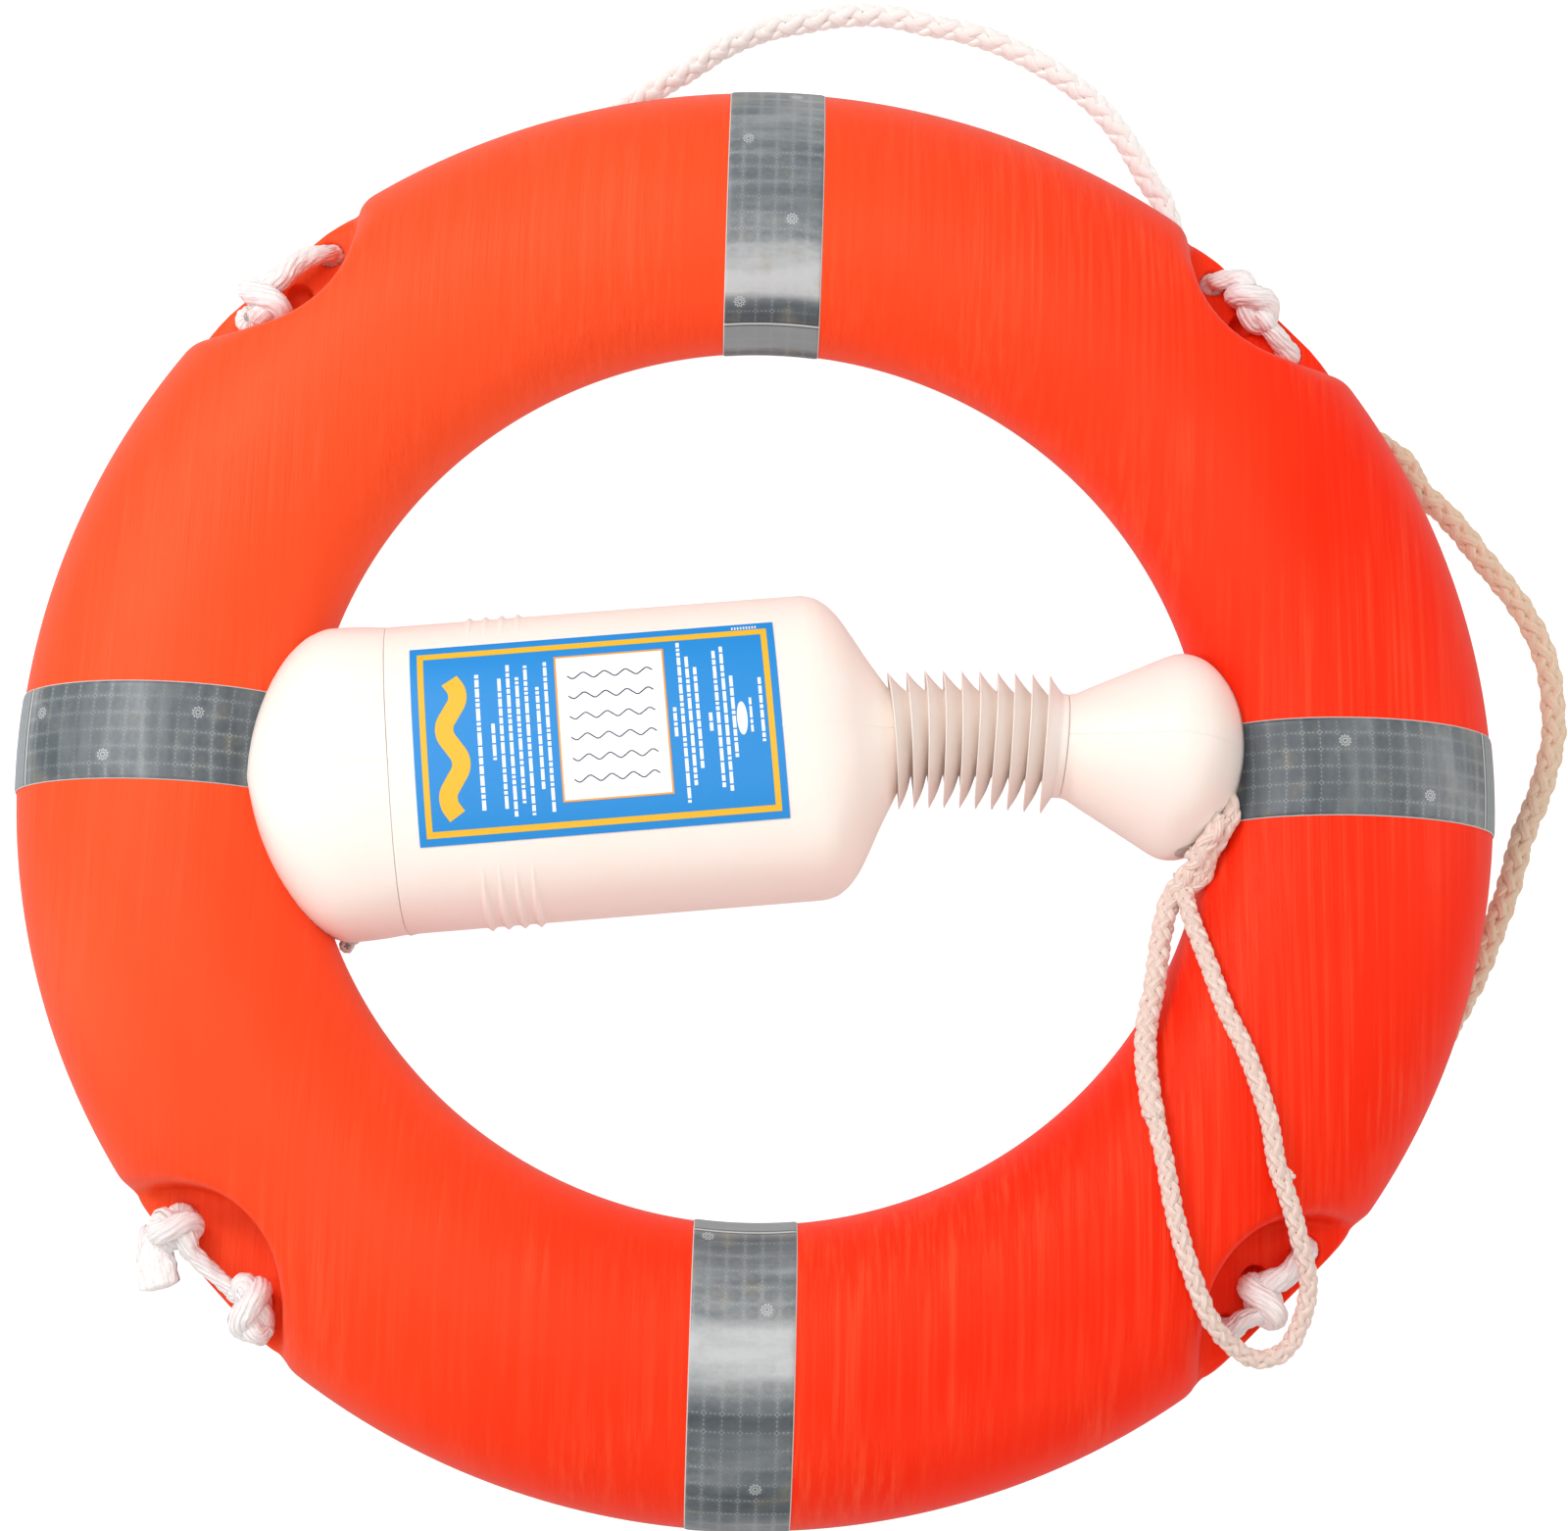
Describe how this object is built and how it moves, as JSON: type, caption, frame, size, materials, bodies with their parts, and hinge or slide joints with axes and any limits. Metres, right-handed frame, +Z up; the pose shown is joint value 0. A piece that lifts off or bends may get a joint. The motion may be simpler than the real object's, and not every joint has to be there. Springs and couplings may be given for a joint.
{
  "type": "ring lifebuoy",
  "caption": "Ring lifebuoy with four reflective tapes, a knotted grab line, and a line canister with bellows neck, bell and hand loop held across the opening.",
  "frame": {"origin": "on the rest plane, under the middle of the bounding box; the ring's own centre is at X -25.0 mm, Y -39.0 mm", "axes": "+Z up, out of the ring's front; +X across the ring from the canister's cap to its bell; +Y towards the tape opposite the hand loop"},
  "size_m": [0.8018, 0.8298, 0.1037],
  "materials": {
    "ring_plastic": "satin orange-red polyethylene",
    "foam": "rigid foam",
    "tape": "retro-reflective film tape",
    "rope": "braided polypropylene rope",
    "canister_plastic": "satin blow-moulded polyethylene",
    "label": "printed film",
    "line": "braided floating line"
  },
  "bodies": {
    "ring": {"ring_shell": "ring_plastic", "foam_core": "foam", "filler_plug": "ring_plastic", "tape_right": "tape", "tape_top": "tape", "tape_left": "tape", "tape_bottom": "tape", "knot_top_left": "rope", "knot_top_right": "rope", "knot_bottom_right": "rope", "knot_bottom_left_upper": "rope", "knot_bottom_left_lower": "rope"},
    "top_bight": {"grab_line_top": "rope"},
    "right_bight": {"grab_line_right": "rope"},
    "bottom_bight": {"grab_line_bottom": "rope"},
    "left_bight": {"grab_line_left": "rope"},
    "canister": {"canister_body": "canister_plastic", "canister_label": "label", "bellows_canister_half": "canister_plastic", "throwing_line_coil": "line", "line_lead_canister": "line", "line_tail": "line"},
    "cap": {"canister_cap": "canister_plastic"},
    "neck": {"bellows_bell_half": "canister_plastic"},
    "bell_end": {"bell": "canister_plastic", "line_lead_bell": "line", "loop_stopper": "line", "loop_splice": "line"},
    "loop": {"hand_loop": "line"}
  },
  "joints": [
    {"name": "canister_lift", "type": "slide", "parent": "ring", "child": "canister", "axis": [0, 0, 1], "range_m": [0, 0.16]},
    {"name": "cap_off", "type": "slide", "parent": "canister", "child": "cap", "axis": [0, 0, 1], "range_m": [0, 0.12]},
    {"name": "neck_bend", "type": "hinge", "parent": "canister", "child": "neck", "pos_m": [0.08676, -0.02098, 0.0524], "axis": [0, 0, 1], "range_deg": [-4, 4], "deforming": ["bellows_canister_half"]},
    {"name": "bell_press", "type": "slide", "parent": "neck", "child": "bell_end", "axis": [-0.9976, 0.0698, 0], "range_m": [0, 0.012], "deforming": ["bellows_bell_half"]},
    {"name": "hand_loop_swing", "type": "hinge", "parent": "canister", "child": "loop", "pos_m": [0.19001, -0.09198, 0.0579], "axis": [-1, 0, 0], "range_deg": [0, 80]},
    {"name": "top_bight_swing", "type": "hinge", "parent": "ring", "child": "top_bight", "pos_m": [-0.25975, 0.23538, 0.0314], "axis": [1, 0, 0], "range_deg": [-28, 12]},
    {"name": "right_bight_swing", "type": "hinge", "parent": "ring", "child": "right_bight", "pos_m": [0.24937, 0.19578, 0.0314], "axis": [0, -1, 0], "range_deg": [-28, 6]},
    {"name": "bottom_bight_swing", "type": "hinge", "parent": "ring", "child": "bottom_bight", "pos_m": [0.20977, -0.31334, 0.0314], "axis": [1, 0, 0], "range_deg": [0, 36]},
    {"name": "left_bight_swing", "type": "hinge", "parent": "ring", "child": "left_bight", "pos_m": [-0.29934, -0.27374, 0.0314], "axis": [0, -1, 0], "range_deg": [0, 36]}
  ]
}
